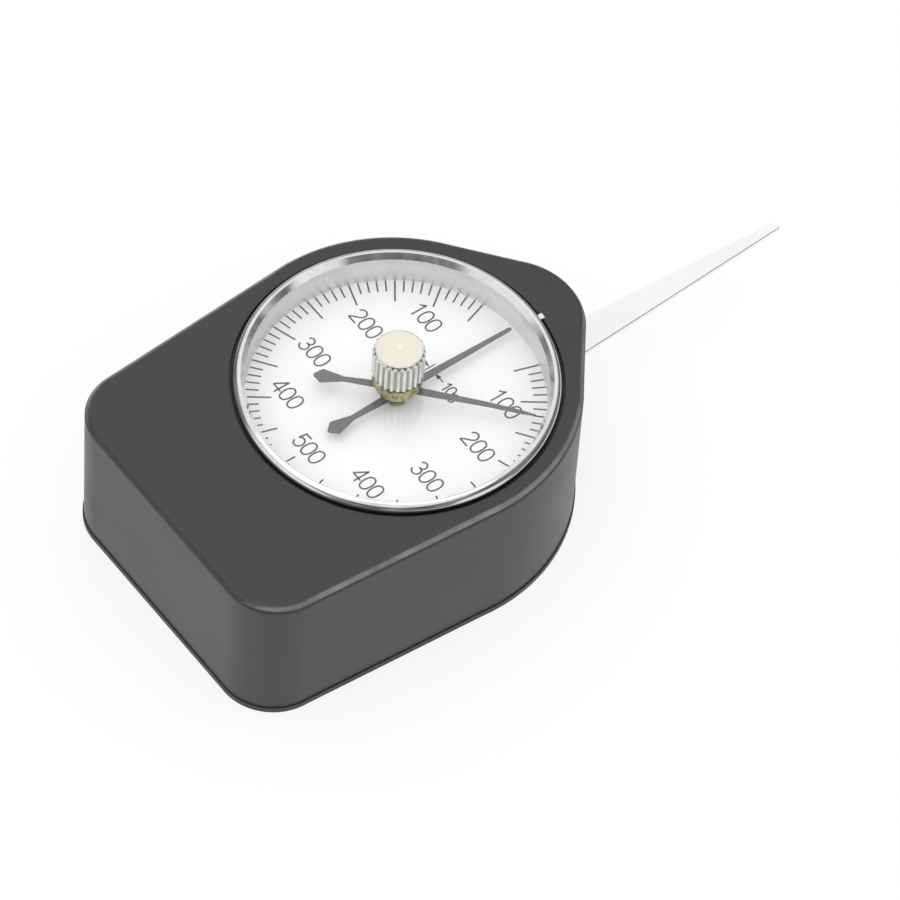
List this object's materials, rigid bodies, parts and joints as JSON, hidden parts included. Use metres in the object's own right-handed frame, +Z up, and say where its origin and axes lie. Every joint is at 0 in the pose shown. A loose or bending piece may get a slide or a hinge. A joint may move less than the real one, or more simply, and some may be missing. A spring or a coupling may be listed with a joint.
{
  "type": "dial tension gauge",
  "caption": "Small hand-held force gauge: a sprung feeler lever in the nose of a black case turns a hand over a round white dial, and a knurled knob resets a drag hand.",
  "frame": {"origin": "on the resting face, under the dial axis", "axes": "+X towards the lever tip, +Z up along the dial axis"},
  "size_m": [0.092, 0.044, 0.026],
  "materials": {
    "case_paint": "satin black paint",
    "cover_paint": "matte black paint",
    "screw_steel": "turned",
    "bezel_chrome": "polished plate",
    "clear_crystal": "clear",
    "aged_brass": "dulled",
    "ring_grey": "satin",
    "dial_white": "satin white enamel",
    "movement_brass": "milled",
    "spring_steel": "blued strip",
    "shaft_steel": "ground",
    "lever_steel": "bright polished",
    "hand_grey": "matte dark grey",
    "knob_nickel": "nickel plate"
  },
  "bodies": {
    "case": {"case": "case_paint", "bottom_cover": "cover_paint", "cover_screws": "screw_steel", "bezel_ring": "bezel_chrome", "crystal": "clear_crystal", "crystal_bush": "aged_brass", "spacer_ring": "ring_grey", "dial_plate": "dial_white", "upper_plate": "movement_brass", "lower_plate": "movement_brass", "pillars": "movement_brass", "pillar_screws": "screw_steel", "movement_screws": "screw_steel", "lever_bushes": "movement_brass", "arbor_bushes": "movement_brass", "spring_stud": "screw_steel", "measuring_spring": "spring_steel", "hairspring": "spring_steel", "hairspring_stud": "screw_steel", "stop_pins": "screw_steel", "friction_washer": "screw_steel"},
    "lever": {"lever_shaft": "shaft_steel", "lever_hub": "movement_brass", "feeler_lever": "lever_steel", "lever_screws": "screw_steel", "sector_gear": "movement_brass", "spring_collet": "movement_brass"},
    "pointer": {"pointer_arbor": "shaft_steel", "pinion": "shaft_steel", "hairspring_collet": "movement_brass", "hand_bush": "aged_brass", "measuring_hand": "hand_grey"},
    "drag": {"drag_hand": "hand_grey", "drag_hub": "aged_brass", "drag_spindle": "shaft_steel", "reset_knob": "knob_nickel"}
  },
  "joints": [
    {"name": "lever_swing", "type": "hinge", "parent": "case", "child": "lever", "pos_m": [0.01605, 0, 0.0076], "axis": [0, 0, 1], "range_deg": [-18, 18], "stiffness_Nm_per_rad": 0.66, "deforming": ["measuring_spring", "hairspring"]},
    {"name": "pointer_turn", "type": "hinge", "parent": "case", "child": "pointer", "pos_m": [0, 0, 0.0162], "axis": [0, 0, 1], "range_deg": [-180, 180]},
    {"name": "drag_turn", "type": "hinge", "parent": "case", "child": "drag", "pos_m": [0, 0, 0.0235], "axis": [0, 0, 1], "range_deg": [-307, 41]}
  ],
  "couplings": [
    {"joint": "pointer_turn", "follows": "lever_swing", "ratio": -10}
  ]
}
